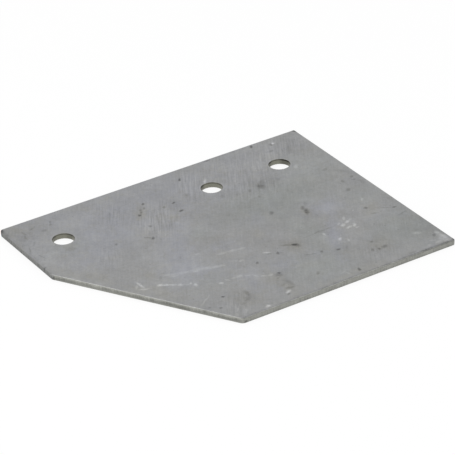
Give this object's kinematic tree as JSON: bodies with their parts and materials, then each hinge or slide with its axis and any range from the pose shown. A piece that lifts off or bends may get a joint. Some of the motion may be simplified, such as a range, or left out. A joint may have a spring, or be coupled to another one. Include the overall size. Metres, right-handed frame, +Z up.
{
  "type": "sickle section",
  "caption": "Flat steel knife plate for a cutting machine, with one long slanting edge and a row of punched bolt holes along its long straight edge.",
  "frame": {"origin": "on the underside, in the middle of the box round the outline", "axes": "+X along the holed edge towards the square end, +Y across the plate towards the holed edge, +Z up out of the face with the rolled rims"},
  "size_m": [0.18, 0.1456, 0.003],
  "materials": {
    "bare_steel": "dull uncoated steel with fine lapping lines, small pits and light scuffs; sheared walls slightly darker"
  },
  "bodies": {
    "root": {"sickle_section": "bare_steel"}
  },
  "joints": []
}
